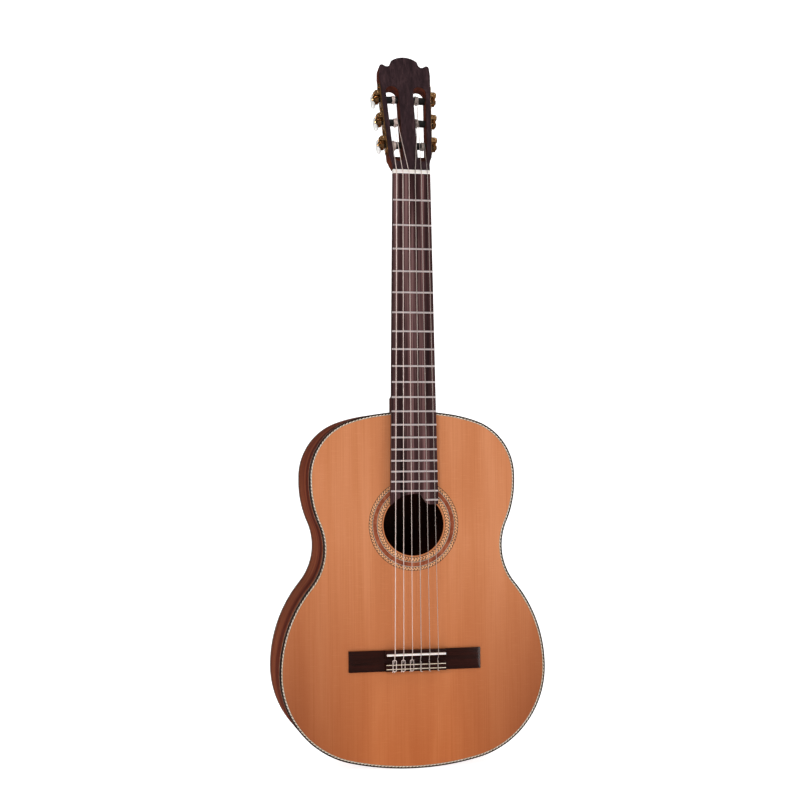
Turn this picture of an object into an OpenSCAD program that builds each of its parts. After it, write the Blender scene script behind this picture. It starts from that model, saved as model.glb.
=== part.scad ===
// Classical guitar, upright. X runs to the treble side, Y to the back, Z up the neck.
// The origin is the middle of the nut line, on the surface of the fingerboard.

/* [Strings and fingerboard] */
// Vibrating length of the strings, from nut to saddle
scale_length = 650; // [645:1:655]
// Width of the fingerboard at the nut
nut_w = 52; // [51:0.5:53]
// Width of the fingerboard at the 12th fret
fret12_w = 62; // [61:0.5:63]
// Thickness of the fingerboard
board_t = 6.5; // [6:0.5:7]
// Distance between the outer strings at the nut
nut_spread = 43; // [42:0.5:44]
// Distance between the outer strings at the saddle
saddle_spread = 60; // [58:0.5:61]

/* [Body] */
// Length of the body
body_l = 485; // [483:1:487]
// Width across the lower bout
lower_w = 368; // [366:1:370]
// Width across the upper bout
upper_w = 286; // [284:1:288]
// Radius of the curve at the waist
waist_r = 80; // [78:1:82]
// Depth of the back's arch behind the soundboard
body_d = 106; // [104:1:108]
// Radius of the arch of the back
arch_r = 4500; // [4000:100:6000]
// Thickness of the soundboard
top_t = 2.6; // [2.4:0.2:3]
// Thickness of the sides
rib_t = 2.2; // [2:0.1:2.4]
// Thickness of the back
back_t = 2.8; // [2.6:0.2:3.2]
// Radius of the soundhole
hole_r = 42; // [41:0.5:42.5]

/* [Head and tuners] */
// Backward tilt of the head, in degrees
head_tilt = 15; // [15:1:15]
// Thickness of the head with its veneer
head_t = 20; // [19.5:0.5:20.5]
// Distance between two string rollers
roller_pitch = 35; // [35:1:35]
// Radius of a string roller
roller_r = 5; // [4.9:0.1:5]
// Teeth on a tuner gear
gear_teeth = 14; // [14:1:14]

/* [Hidden] */
FINE = 48;            // facets of the small round parts
GAP = 0.05;           // running clearance of a shaft in its hole
HALF = scale_length / 2;
SIX = [0:5];          // strings from the lowest (bass side) to the highest

// body outline: radii of the arcs from the tail up to the neck
tail_r = 380;
lower_r = 124.5;      // widest part of the lower bout, tail side
lower_r2 = 180;       // the same, waist side
upper_r2 = 143;       // widest part of the upper bout, waist side
upper_r = 80;         // the same, neck side
upper_flat = 5.6;     // straight stretch between those two
shoulder_r = 205;
shoulder_x = 48;      // the edge falls straight away from the neck as far as this
shoulder_fall = 7.4;  // by this many degrees
body_top = 3 - HALF;  // the sides' upper edge, just above the 12th fret
body_foot = body_top - body_l;
back_lean = 0.354;    // the body is deeper at the tail by this slant

// layers, front to back, as Y values
top_y = board_t;                // front of the soundboard
inner_y = top_y + top_t;        // its inner face
purfling_w = 1.5;
purfling_t = 1.2;
binding_h = 6;
lining_w = 5;
lining_h = 12;
hole_z = -scale_length + 171;   // middle of the soundhole
rosette_r0 = 44.1;
rosette_r1 = 62.2;
rosette_t = 1;
web_half = 9;                   // half the solid wood between the ends of the sides
block_half = 32;
block_l = 50;

// neck
shaft_t0 = 14.5;                // wood behind the fingerboard at the nut
shaft_t1 = 16.5;                // and where the heel starts
heel_l = 75;
heel_cap_y = 100.5;
heel_cap_t = 3;
nut_t = 5.5;
nut_front = -1.9;               // top of the nut
string_y0 = -1.5;               // underside of the strings at the nut

// frets
fret_r = 1.25;
fret_h = 1;
tang_w = 0.6;
tang_h = 2;
tongue_x = 22;                  // the board's end runs on beyond here, under the treble strings
tongue_z = -scale_length + 198.5;
tongue_r = 7;

// bridge
bridge_z1 = 3 - scale_length;   // edge nearest the soundhole
bridge_w = 28.5;
bridge_l = 183;
bridge_z0 = bridge_z1 - bridge_w;
bridge_mid = 42;                // half the length of the raised middle
wing_h = 4;
wing_r = 73;                    // arch across a wing
saddle_z = -scale_length - 3;
saddle_t = 2.8;
saddle_half = 40.5;
saddle_y = -5.5;                // top of the saddle
slot_y = 3;                     // bottom of the saddle slot
tie_y = -2;                     // top of the tie block
tie_front = bridge_z0 + 11.3;
tie_hole_y = 0.3;
tie_hole_r = 1.1;

// head, in its own frame: X across, Y through the thickness, Z along
head_y = 1.5;                   // front of the veneer at the nut
head_z = nut_t;
veneer_t = 2.2;
edge_v = 20;                    // the edges are straight from here up
edge_x = 29.9;
edge_turn = 2.93;               // lean of the edges
slot_in = 10.2;                 // inner wall of a slot
slot_v0 = 19.6;                 // middle of the slot's lower round end
slot_r0 = 6.6;
slot_v1 = 119;                  // middle of its upper round end
slot_r1 = 9.2;
ramp_v = 25;                    // end of the ramp at the foot of a slot
ramp_y = 12;
square_v = 16;                  // the head is square from here up

// tuners, in a frame on the head's edge: X outwards, Y to the back, Z up
roller_v = 40;                  // first roller, along the head
roller_y = 10;                  // depth of the rollers' axes
pitch_on_edge = roller_pitch / cos(edge_turn);
journal_r = 3;
bar_grip = 7;                   // how far a roller enters the middle bar
plate_t = 1.2;
plate_half = 8.2;
plate_z0 = -6;                  // middle of the lower round end
plate_z1 = 87;                  // middle of the upper round end
gear_module = 0.8;
gear_x0 = 4;
gear_x1 = 7.6;
gear_pitch_r = gear_module * gear_teeth / 2;
gear_tip_r = gear_pitch_r + 0.7;
gear_root_r = gear_pitch_r - 1;
gear_post_r = 2.5;
worm_pitch_r = 3.6;
worm_tip_r = 4.4;
worm_core_r = 2.7;
collar_r = 2.5;
crest_half = 0.3;               // half the width of the thread at its crest
foot_half = 0.78;               // and at its foot
worm_x = (gear_x0 + gear_x1) / 2;
worm_z = gear_pitch_r + worm_pitch_r;
worm_lead = PI * gear_module;   // advance of the thread in one turn
worm_turns = 3;
lead_angle = atan(worm_lead / (2 * PI * worm_pitch_r));
ear_y = 5;                      // inner face of a bracket's ear
ear_t = 1.5;
ear_r = 3.6;
shaft_r = 1.6;
ferrule_r = 3.2;
ferrule_y = 12;
button_y = 21.5;
button_r = 3.6;
screw_r = 1.2;
screw_z = [-9.5, 22, 57, 89];

// strings, from the lowest to the highest
string_r = [0.56, 0.46, 0.38, 0.51, 0.41, 0.36];
coil_w = [6, 5.5, 5, 6, 5.5, 5];
coil_x = [20.5, 16.5, 17, 15.5, 13.5, 20];

NAMES = ["string_roller", "tuner_gear", "tuner_worm", "tuner_button", "string_winding", "string"];

// ---- outlines -------------------------------------------------------------------------------

function arc(c, r, from, to, n) =
    [for (i = [0:n]) let (a = from + (to - from) * i / n) c + r * [cos(a), sin(a)]];

function bearing(v) = atan2(v.y, v.x);

function fret_z(n) = -scale_length * (1 - pow(2, -n / 12));

function board_half(z) = (nut_w + (fret12_w - nut_w) * max(0, -z) / HALF) / 2;

function edge_at(v) = edge_x + (v - edge_v) * tan(edge_turn);

// half of the body, from the tail's middle round to the neck; inset moves the line inwards
function half_outline(inset) =
    let (c_tail = [0, tail_r],
         z_low = tail_r - sqrt(pow(tail_r - lower_r, 2) - pow(lower_w / 2 - lower_r, 2)),
         c_low = [lower_w / 2 - lower_r, z_low],
         c_low2 = [lower_w / 2 - lower_r2, z_low],
         fall = [sin(shoulder_fall), cos(shoulder_fall)],
         c_sh = [shoulder_x, body_l - shoulder_x * tan(shoulder_fall)] - shoulder_r * fall,
         z_up = c_sh.y + sqrt(pow(shoulder_r - upper_r, 2) - pow(upper_w / 2 - upper_r - c_sh.x, 2)),
         c_up = [upper_w / 2 - upper_r, z_up],
         c_up2 = [upper_w / 2 - upper_r2, z_up - upper_flat],
         // the waist's circle touches both bouts from outside
         between = c_up2 - c_low2,
         gap = norm(between),
         along = between / gap,
         r1 = lower_r2 + waist_r,
         r2 = upper_r2 + waist_r,
         reach = (r1 * r1 - r2 * r2 + gap * gap) / (2 * gap),
         off = sqrt(r1 * r1 - reach * reach),
         c_waist = c_low2 + reach * along + off * [along.y, -along.x],
         a_tail = bearing(c_low - c_tail),
         a_low = bearing(c_waist - c_low2),
         a_up = bearing(c_up2 - c_waist),
         a_sh = bearing(c_up - c_sh))
    concat(
        arc(c_tail, tail_r - inset, -90, a_tail, 8),
        arc(c_low, lower_r - inset, a_tail, 0, 11),
        arc(c_low2, lower_r2 - inset, 0, a_low, 8),
        arc(c_waist, waist_r + inset, a_low + 180, a_up, 12),
        arc(c_up2, upper_r2 - inset, a_up - 180, 0, 6),
        arc(c_up, upper_r - inset, 0, a_sh, 10),
        arc(c_sh, shoulder_r - inset, a_sh, 90 - shoulder_fall, 4),
        [[0, body_l - inset / fall.y]]);

// consecutive arcs share their end points, so repeats are dropped
function unique(points) =
    [for (i = [0:len(points) - 1]) if (i == 0 || norm(points[i] - points[i - 1]) > 0.01) points[i]];

function mirrored(half) = concat(half, [for (i = [len(half) - 1:-1:0]) if (half[i].x > 0.01)
    [-half[i].x, half[i].y]]);

module body_outline(inset) {
    translate([0, body_foot]) polygon(mirrored(unique(half_outline(inset))));
}

// a flat shape drawn in X and Z, thickened from y0 to y1
module along_y(y0, y1) {
    translate([0, y1, 0]) rotate([90, 0, 0]) linear_extrude(y1 - y0) children();
}

module prism(inset, y0, y1) {
    along_y(y0, y1) body_outline(inset);
}

module ring(inset0, inset1, y0, y1) {
    difference() {
        prism(inset0, y0, y1);
        prism(inset1, y0 - 1, y1 + 1);
    }
}

module round_along_y(r, y0, y1, at = [0, 0], fn = FINE) {
    translate([at.x, y0, at.y]) rotate([-90, 0, 0]) cylinder(h = y1 - y0, r = r, $fn = fn);
}

module box(lo, hi) {
    translate(lo) cube(hi - lo);
}

// a layer that follows the arched back, between two distances in front of its outer face
module back_layer(from, to) {
    reach = 300;
    arch = [for (r = [0:30:reach]) [r, -r * r / (2 * arch_r)]];
    translate([0, top_y + body_d, body_foot + body_l / 2])
        rotate([back_lean, 0, 0]) rotate([-90, 0, 0]) rotate_extrude($fn = 96)
            polygon(concat([for (p = arch) p - [0, from]],
                [for (i = [len(arch) - 1:-1:0]) arch[i] - [0, to]]));
}

// everything in front of the arched back, from ahead of its outer face
module before_back(ahead) {
    back_layer(ahead, 140);
}

// ---- body -----------------------------------------------------------------------------------

module soundboard() {
    color("#cf8350") difference() {
        union() {
            prism(rib_t, top_y + purfling_t, inner_y);
            prism(rib_t + purfling_w, top_y, top_y + purfling_t);
        }
        round_along_y(hole_r, top_y - 1, inner_y + 1, [0, hole_z], 96);
        difference() {
            round_along_y(rosette_r1, top_y - 1, top_y + rosette_t, [0, hole_z], 96);
            round_along_y(rosette_r0, top_y - 2, top_y + rosette_t + 1, [0, hole_z], 96);
        }
    }
}

module rosette() {
    color("#a5663a") difference() {
        round_along_y(rosette_r1, top_y, top_y + rosette_t, [0, hole_z], 96);
        round_along_y(rosette_r0, top_y - 1, top_y + rosette_t + 1, [0, hole_z], 96);
    }
}

module back_plate() {
    color("#7d3f25") intersection() {
        prism(rib_t, 60, 130);
        back_layer(0, back_t);
    }
}

module binding_back() {
    color("#33211a") intersection() {
        ring(0, rib_t, 60, 130);
        back_layer(0, binding_h);
    }
}

module binding_top() {
    color("#33211a") ring(0, rib_t, top_y, top_y + binding_h);
}

module purfling_top() {
    color("#e8dcc0") ring(rib_t, rib_t + purfling_w, top_y, top_y + purfling_t);
}

module side(sign) {
    color("#8b4a2b") intersection() {
        difference() {
            ring(0, rib_t, top_y + binding_h, 130);
            box([-web_half, 0, body_top - 20], [web_half, 130, body_top + 20]);
        }
        before_back(binding_h);
        box([min(0, 250 * sign), 0, body_foot - 10], [max(0, 250 * sign), 130, body_top + 10]);
    }
}

module linings() {
    color("#c9a070") difference() {
        union() {
            ring(rib_t, rib_t + lining_w, inner_y, inner_y + lining_h);
            intersection() {
                ring(rib_t, rib_t + lining_w, 60, 130);
                back_layer(back_t, back_t + lining_h);
            }
        }
        box([-block_half, 0, body_top - 60], [block_half, 130, body_top + 10]);
        box([-block_half, 0, body_foot - 10], [block_half, 130, body_foot + 60]);
    }
}

module tail_block() {
    color("#b98c5c") intersection() {
        prism(rib_t, inner_y, 130);
        before_back(back_t);
        box([-block_half, 0, body_foot - 1], [block_half, 130, body_foot + 18]);
    }
}

// a strut glued behind the soundboard, from p to q in X and Z
module strut(p, q, w, h) {
    run = q - p;
    translate([p.x, inner_y, p.y]) rotate([0, -bearing(run), 0])
        rotate([90, 0, 0]) translate([0, -w / 2, -h])
            linear_extrude(h) polygon([[0, 0], [norm(run), 0], [norm(run), w], [0, w]]);
}

module soundboard_braces() {
    fan_top = hole_z - 75;
    fan_foot = body_foot + 62;
    color("#dcb886") intersection() {
        prism(rib_t + lining_w + 1, inner_y, inner_y + 20);
        union() {
            // cross bars above and below the soundhole, and one under the upper bout
            for (z = [hole_z + 58, hole_z - 58, body_top - 90])
                box([-200, inner_y, z - 4], [200, inner_y + 16, z + 4]);
            // the fan below the soundhole
            for (i = [-3:3])
                strut([i * 17, fan_top], [i * 40, fan_foot + abs(i) * 12], 6, 7);
            // two short closing bars at the tail
            for (s = [-1, 1])
                strut([s * 12, body_foot + 28], [s * 118, body_foot + 66], 5, 5);
        }
    }
}

module back_braces() {
    color("#dcb886") intersection() {
        prism(rib_t + lining_w + 1, 60, 130);
        back_layer(back_t, back_t + 16);
        for (z = [body_top - 110, body_top - 215, body_top - 310, body_top - 405])
            box([-200, 60, z - 4], [200, 130, z + 4]);
    }
}

// ---- neck -----------------------------------------------------------------------------------

// the neck's back is round, and drops into a deep narrow heel where it meets the body
NECK_RIBS = 20;
heel_drop = 110;
heel_steps = 12;

// half the width of a section at a part u of its depth: an ellipse for the shaft (k = 0),
// and for the heel (k = 1) a wedge with a round end
function section_half(u, k) =
    (1 - k) * sqrt(1 - u * u) + k * (1 - 0.66 * pow(u, 0.9)) * sqrt(1 - pow(max(0, u - 0.8) / 0.2, 2));

function neck_station(z, depth, k) = [for (i = [0:NECK_RIBS])
    let (a = 180 * i / NECK_RIBS, u = min(1, sin(a)))
    [-sign(cos(a)) * board_half(z) * section_half(u, k), board_t + depth * u, z]];

module neck_loft() {
    z_heel = body_top + heel_l;
    stations = concat(
        [neck_station(nut_t + 1, shaft_t0, 0)],
        [neck_station(0, shaft_t0, 0)],
        [for (i = [0:heel_steps])
            let (a = 90 * i / heel_steps)
            neck_station(z_heel - (heel_l - 18) * sin(a),
                         shaft_t1 + (heel_drop - shaft_t1) * (1 - cos(a)),
                         1 - cos(a))],
        [neck_station(body_top - 8, heel_drop, 1)]);
    m = NECK_RIBS + 1;
    last = len(stations) - 1;
    polyhedron(
        points = [for (s = stations, p = s) p],
        faces = concat(
            [[for (j = [0:m - 1]) j]],
            [[for (j = [m - 1:-1:0]) last * m + j]],
            [for (i = [0:last - 1], j = [0:m - 1])
                let (k = (j + 1) % m) [i * m + j, (i + 1) * m + j, (i + 1) * m + k, i * m + k]]));
}

module head_frame() {
    translate([0, head_y, head_z]) rotate([-head_tilt, 0, 0]) children();
}

// the heel outside the body, and the foot of the neck inside it
module neck() {
    color("#8f4e30") {
        difference() {
            neck_loft();
            prism(0, -5, 140);
            head_frame() box([-60, -30, 0], [60, 40, 60]);
            box([-60, heel_cap_y, body_top - 20], [60, 140, 40]);
        }
        intersection() {
            prism(0, top_y + binding_h, 140);
            before_back(binding_h);
            box([-web_half, 0, body_top - 5], [web_half, 140, body_top + 5]);
        }
        intersection() {
            prism(rib_t, inner_y, 140);
            before_back(back_t);
            box([-block_half, 0, body_top - block_l], [block_half, 140, body_top + 5]);
        }
    }
}

module heel_cap() {
    color("#33211a") intersection() {
        difference() {
            neck_loft();
            prism(0, -5, 140);
        }
        box([-60, heel_cap_y, body_top - 20], [60, heel_cap_y + heel_cap_t, body_top + 60]);
    }
}

// the board is cut to the edge of the soundhole, but runs on under the treble strings
module board_plan(y0, y1) {
    foot = -scale_length;
    intersection() {
        along_y(y0, y1) polygon([[-board_half(0), 0], [board_half(0), 0],
            [board_half(foot), foot], [-board_half(foot), foot]]);
        union() {
            difference() {
                box([-60, y0, tongue_z], [60, y1, 0]);
                round_along_y(hole_r, y0 - 1, y1 + 1, [0, hole_z], 96);
            }
            box([tongue_x, y0, tongue_z], [60, y1, tongue_z + 20]);
            round_along_y(tongue_r, y0, y1, [tongue_x, tongue_z + tongue_r]);
            along_y(y0, y1) polygon([[tongue_x, tongue_z + 20], [tongue_x - 14, tongue_z + 14],
                [tongue_x - tongue_r * sin(50), tongue_z + tongue_r * (1 - cos(50))],
                [tongue_x, tongue_z + tongue_r]]);
        }
    }
}

// the 20th fret is only under the treble strings
function fret_from(n) = n < 20 ? -60 : tongue_x - 6.7;

module fingerboard() {
    color("#3b2622") difference() {
        board_plan(0, board_t);
        for (n = [1:20])
            box([fret_from(n), -1, fret_z(n) - tang_w / 2], [60, tang_h, fret_z(n) + tang_w / 2]);
    }
}

module frets() {
    color("#d5d2cc") intersection() {
        along_y(-fret_h - 1, tang_h) polygon([[-board_half(0), 0], [board_half(0), 0],
            [board_half(-scale_length), -scale_length], [-board_half(-scale_length), -scale_length]]);
        for (n = [1:20]) union() {
            box([fret_from(n), 0, fret_z(n) - tang_w / 2], [60, tang_h, fret_z(n) + tang_w / 2]);
            intersection() {
                translate([fret_from(n), fret_r - fret_h, fret_z(n)]) rotate([0, 90, 0])
                    cylinder(h = 120, r = fret_r, $fn = FINE);
                box([fret_from(n), -fret_h - 1, fret_z(n) - 3], [60, 0, fret_z(n) + 3]);
            }
        }
    }
}

module nut() {
    profile = [[0, board_t], [0, nut_front], [1.2, nut_front - 0.1], [nut_t, 0.3], [nut_t, board_t]];
    color("#f2ecdf") difference() {
        translate([-nut_w / 2, 0, 0]) rotate([90, 0, 90]) linear_extrude(nut_w)
            polygon([for (p = profile) [p[1], p[0]]]);
        // one groove for each string, level and then wider and down towards the head
        for (i = SIX) {
            snug = string_r[i] + GAP;
            box([nut_x(i) - snug, -10, -1], [nut_x(i) + snug, string_y0 + GAP, 1.5]);
            translate([nut_x(i) - snug - 0.5, string_y0 + GAP, 1]) rotate([-24, 0, 0])
                translate([0, -10, 0]) cube([2 * snug + 1, 10, 9]);
        }
    }
}

// ---- bridge ---------------------------------------------------------------------------------

module bridge() {
    mid = (bridge_z0 + bridge_z1) / 2;
    middle = [[bridge_z1, top_y], [bridge_z1, 1], [bridge_z1 - 1.5, -0.8], [bridge_z1 - 2.5, -1.3],
        [saddle_z - 3.4, -1.6], [saddle_z - 4.2, -0.8], [saddle_z - 4.8, 2.6],
        [tie_front + 0.6, 2.6], [tie_front, 2], [tie_front, tie_y + 0.4], [tie_front - 0.4, tie_y],
        [bridge_z0 + 0.6, tie_y], [bridge_z0, tie_y + 0.6], [bridge_z0, top_y]];
    color("#2b1512") difference() {
        union() {
            intersection() {
                box([-bridge_l / 2, top_y - wing_h, bridge_z0], [bridge_l / 2, top_y, bridge_z1]);
                translate([-bridge_l / 2, top_y - wing_h + wing_r, mid]) rotate([0, 90, 0])
                    cylinder(h = bridge_l, r = wing_r, $fn = 256);
            }
            translate([-bridge_mid, 0, 0]) rotate([90, 0, 90]) linear_extrude(2 * bridge_mid)
                polygon([for (p = middle) [p[1], p[0]]]);
        }
        box([-saddle_half, -20, saddle_z - saddle_t / 2], [saddle_half, slot_y, saddle_z + saddle_t / 2]);
        for (i = SIX) translate([saddle_x(i), tie_hole_y, bridge_z0 - 5])
            cylinder(h = 18, r = tie_hole_r, $fn = FINE);
        trim_strips(0.1);
        // the wings' ends slope down to a thin edge
        for (s = [0, 1]) mirror([s, 0, 0]) translate([bridge_l / 2 - 7, top_y - wing_h, 0])
            rotate([0, 0, 22]) box([0, -20, bridge_z0 - 5], [30, 0, bridge_z1 + 5]);
    }
}

// two light lines along the tie block; above lets the same shape cut their channels
module trim_strips(above = 0) {
    for (z = [tie_front - 2.3, tie_front - 8])
        box([-bridge_mid + 1, tie_y - above, z - 0.5], [bridge_mid - 1, tie_y + 0.6, z + 0.5]);
}

module tie_block_trim() {
    color("#d8cdb4") trim_strips();
}

module saddle() {
    r = saddle_t / 2;
    color("#f2ecdf") {
        box([-saddle_half, saddle_y + r, saddle_z - r], [saddle_half, slot_y, saddle_z + r]);
        intersection() {
            translate([-saddle_half, saddle_y + r, saddle_z]) rotate([0, 90, 0])
                cylinder(h = 2 * saddle_half, r = r, $fn = FINE);
            box([-saddle_half, saddle_y - 1, saddle_z - r], [saddle_half, saddle_y + r, saddle_z + r]);
        }
    }
}

// ---- head -----------------------------------------------------------------------------------

module head_plan() {
    crest = concat(
        arc([0, 143], 30, 90, 52, 8),
        arc([25, 163.2], 5.2, 190, 310, 8),
        arc([31.8, 157], 3.8, 120, 0, 7),
        [[edge_at(146), 146], [edge_at(edge_v + 1), edge_v + 1]],
        arc([24.9, edge_v + 1], 5, -5, -50, 4),
        [[nut_w / 2 + 0.2, 9], [nut_w / 2, 0]]);
    polygon(mirrored(crest));
}

// a slot, wider at the top because its outer wall follows the head's edge
module slot_plan() {
    polygon(concat(
        arc([slot_in + slot_r0, slot_v0], slot_r0, 180, 357, 14),
        arc([slot_in + slot_r1, slot_v1], slot_r1, -3, 180, 16)));
}

// the head's section where it meets the round neck
module foot_plan() {
    deep = (board_t - head_y) / cos(head_tilt);
    polygon(concat([[nut_w / 2 + 0.2, 0], [nut_w / 2 + 0.2, deep]],
        [for (a = [10:10:170]) [(nut_w / 2 + 0.2) * cos(a), deep + (head_t - deep) * sin(a)]],
        [[-nut_w / 2 - 0.2, deep], [-nut_w / 2 - 0.2, 0]]));
}

// the nut's seat, cut into the foot of the head
module nut_space() {
    box([-40, -10, -5], [40, board_t, nut_t]);
}

module head_veneer() {
    color("#3a2326") difference() {
        head_frame() difference() {
            along_y(0, veneer_t) head_plan();
            for (s = [0, 1]) mirror([s, 0, 0]) along_y(-1, veneer_t + 1) slot_plan();
        }
        nut_space();
        for (i = SIX) string_channel(i);
    }
}

// a shallow groove that leads a string off the veneer and into its slot
module string_channel(i) {
    start = string_route(i)[1];
    run = landing(i) - start;
    d = unit(run);
    half = string_r[i] + 0.2;
    translate(start) rotate([-asin(d.y), atan2(d.x, d.z), 0])
        translate([-half, -10, 0]) cube([2 * half, 10 + half, norm(run) - 3]);
}

module headstock() {
    color("#8f4e30") difference() {
        head_frame() difference() {
            intersection() {
                along_y(veneer_t, head_t) head_plan();
                union() {
                    box([-60, 0, square_v], [60, 40, 200]);
                    // below the slots the back is rounded, to run into the neck
                    hull() {
                        linear_extrude(2) foot_plan();
                        translate([-nut_w / 2 - 3, 0, square_v - 1]) cube([nut_w + 6, head_t, 1]);
                    }
                }
            }
            for (s = [0, 1]) mirror([s, 0, 0]) difference() {
                along_y(-1, head_t + 1) slot_plan();
                // a ramp is left at the foot of each slot, so the strings clear it
                rotate([90, 0, 90]) linear_extrude(40)
                    polygon([[veneer_t, slot_v0 - slot_r0], [ramp_y, ramp_v], [head_t + 2, ramp_v],
                        [head_t + 2, 5], [veneer_t, 5]]);
            }
            for (i = SIX) tuner_frame(i) {
                turn_x() translate([0, 0, -roller_reach(i) - 0.1])
                    cylinder(h = roller_reach(i) + 5, r = roller_r + GAP, $fn = FINE);
            }
            for (i = [0, 5], z = screw_z) tuner_frame(i) translate([0, 0, z]) turn_x()
                translate([0, 0, -5]) cylinder(h = 10, r = screw_r, $fn = FINE);
        }
        nut_space();
    }
}

// ---- tuners ---------------------------------------------------------------------------------

// strings 0 to 2 are on the bass side, from the nut up; 3 to 5 on the treble side, from the top down
function level(i) = i < 3 ? i : 5 - i;
function tuner_v(i) = roller_v + roller_pitch * level(i);

// how far a roller reaches in from the head's edge, into the middle bar
function roller_reach(i) = edge_at(tuner_v(i)) - slot_in + bar_grip;

module tuner_frame(i) {
    mirror([i < 3 ? 1 : 0, 0, 0]) translate([edge_at(tuner_v(i)), roller_y, tuner_v(i)])
        rotate([0, edge_turn, 0]) children();
}

// turns a shape standing on Z to lie along X
module turn_x() {
    rotate([0, 90, 0]) children();
}

module place(i) {
    head_frame() tuner_frame(i) children();
}

module string_roller(i) {
    color("#141313") place(i) turn_x() {
        translate([0, 0, -roller_reach(i)]) cylinder(h = roller_reach(i) - 0.3, r = roller_r, $fn = FINE);
        translate([0, 0, -1]) cylinder(h = gear_x0 + 1, r = journal_r, $fn = FINE);
        translate([0, 0, 1]) cylinder(h = gear_x1 - 1, r = gear_post_r, $fn = FINE);
    }
}

// slanted teeth in step with the worm's thread, and the screw that holds the gear
module tuner_gear(i) {
    w = gear_x1 - gear_x0;
    root = 0.62;
    tip = 0.3;
    color("#c9a24c") place(i) {
        difference() {
            union() {
                translate([gear_x0, 0, 0]) turn_x() cylinder(h = w, r = gear_root_r, $fn = FINE);
                intersection() {
                    translate([gear_x0, 0, 0]) turn_x() cylinder(h = w, r = gear_tip_r, $fn = FINE);
                    for (j = [0:gear_teeth - 1]) rotate([360 / gear_teeth * j, 0, 0])
                        translate([worm_x, 0, gear_root_r]) rotate([0, 0, -lead_angle])
                            rotate([90, 0, 90]) translate([0, 0, -w]) linear_extrude(2 * w)
                                polygon([[-root, -0.6], [root, -0.6], [tip, 2], [-tip, 2]]);
                }
            }
            turn_x() cylinder(h = 20, r = gear_post_r, $fn = FINE);
        }
        difference() {
            translate([gear_x1, 0, 0]) turn_x() cylinder(h = 1.7, r = 3.2, $fn = FINE);
            box([gear_x1 + 1, -5, -0.4], [gear_x1 + 3, 5, 0.4]);
        }
    }
}

// how far the thread stands out at a part of a turn from its crest
function thread_r(phase) =
    let (off = abs(phase - round(phase)) * worm_lead, flank = (off - crest_half) / (foot_half - crest_half))
    worm_tip_r - (worm_tip_r - worm_core_r) * min(1, max(0, flank));

// core and thread in one screw surface; a crest lies half a lead to each side of the gear's top tooth
module worm_thread() {
    sides = 16;
    per_turn = 8;
    last = per_turn * worm_turns;
    points = [for (k = [0:last], j = [0:sides - 1])
        let (a = 360 * j / sides, turn = k / per_turn - worm_turns / 2, r = thread_r(turn - j / sides + 0.75))
        [r * cos(a), r * sin(a), worm_lead * turn]];
    polyhedron(points = points, faces = concat(
        [[for (j = [0:sides - 1]) j]],
        [[for (j = [sides - 1:-1:0]) sides * last + j]],
        [for (k = [0:last - 1], j = [0:sides - 1])
            let (p = sides * k, n = (j + 1) % sides)
            each [[p + j, p + sides + j, p + sides + n], [p + j, p + sides + n, p + n]]]));
}

module tuner_worm(i) {
    color("#c9a24c") place(i) translate([worm_x, 0, worm_z]) rotate([-90, 0, 0]) {
        half = worm_lead * worm_turns / 2;
        worm_thread();
        for (s = [0, 1]) mirror([0, 0, s]) translate([0, 0, half])
            cylinder(h = ear_y - 0.1 - half, r = collar_r, $fn = FINE);
        translate([0, 0, -ear_y - ear_t - 0.7]) cylinder(h = ear_t + 0.8, r = shaft_r, $fn = FINE);
        translate([0, 0, ear_y - 0.1]) cylinder(h = ferrule_y - ear_y + 0.1, r = shaft_r, $fn = FINE);
        translate([0, 0, ferrule_y]) cylinder(h = 4, r = ferrule_r, $fn = FINE);
    }
}

module tuner_button(i) {
    color("#efe9dc") place(i) translate([worm_x, 0, worm_z]) difference() {
        hull() for (dz = [-6, 6], dy = [-3.4, 3.4])
            translate([0, button_y + dy, dz]) sphere(r = button_r, $fn = 20);
        round_along_y(ferrule_r, ferrule_y - 5, ferrule_y + 4);
    }
}

module tuner_plates() {
    color("#c9a24c") for (first = [0, 5]) place(first) {
        difference() {
            union() {
                box([0, -plate_half, plate_z0], [plate_t, plate_half, plate_z1]);
                for (z = [plate_z0, plate_z1]) translate([0, 0, z]) turn_x()
                    cylinder(h = plate_t, r = plate_half, $fn = FINE);
                for (k = [0:2], s = [0, 1]) translate([0, 0, k * pitch_on_edge]) mirror([0, s, 0]) {
                    box([plate_t, ear_y, worm_z - ear_r], [worm_x, ear_y + ear_t, worm_z + ear_r]);
                    round_along_y(ear_r, ear_y, ear_y + ear_t, [worm_x, worm_z]);
                }
            }
            for (k = [0:2]) translate([0, 0, k * pitch_on_edge]) {
                translate([-1, 0, 0]) turn_x() cylinder(h = 4, r = journal_r + GAP, $fn = FINE);
                round_along_y(shaft_r + GAP, -10, 10, [worm_x, worm_z]);
            }
            for (z = screw_z) translate([-1, 0, z]) turn_x() cylinder(h = 4, r = screw_r, $fn = FINE);
        }
    }
}

module plate_screws() {
    color("#b8923f") for (first = [0, 5], z = screw_z) place(first) translate([0, 0, z]) difference() {
        union() {
            translate([-5, 0, 0]) turn_x() cylinder(h = 5 + plate_t, r = screw_r, $fn = FINE);
            translate([plate_t, 0, 0]) turn_x() cylinder(h = 1.2, r = 2.6, $fn = FINE);
        }
        box([plate_t + 0.6, -4, -0.35], [plate_t + 3, 4, 0.35]);
    }
}

// ---- strings --------------------------------------------------------------------------------

function nut_x(i) = nut_spread * (i / 5 - 0.5);
function saddle_x(i) = saddle_spread * (i / 5 - 0.5);
function side_of(i) = i < 3 ? -1 : 1;

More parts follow.
